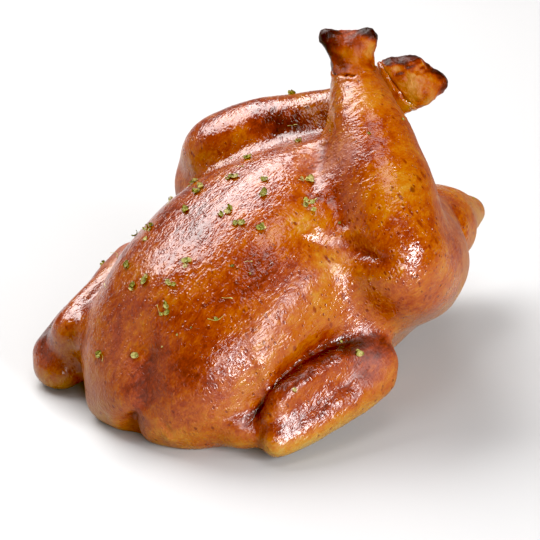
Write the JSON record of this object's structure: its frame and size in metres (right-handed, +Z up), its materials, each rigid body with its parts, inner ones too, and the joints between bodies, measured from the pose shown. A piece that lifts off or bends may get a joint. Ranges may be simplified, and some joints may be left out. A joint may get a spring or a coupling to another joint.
{
  "type": "roast chicken",
  "caption": "Whole roast chicken with crossed, raised legs and folded wings, lying on its back, which is spread flat where it rests.",
  "frame": {"origin": "middle of the bird's bounding box in plan, on the surface that it rests on", "axes": "+Z up from the table through the breast, +Y from the neck end to the tail, +X towards the bird's right side"},
  "size_m": [0.1654, 0.2384, 0.1531],
  "materials": {
    "roast_skin": "glossy"
  },
  "bodies": {
    "root": {"roast_chicken": "roast_skin"}
  },
  "joints": []
}
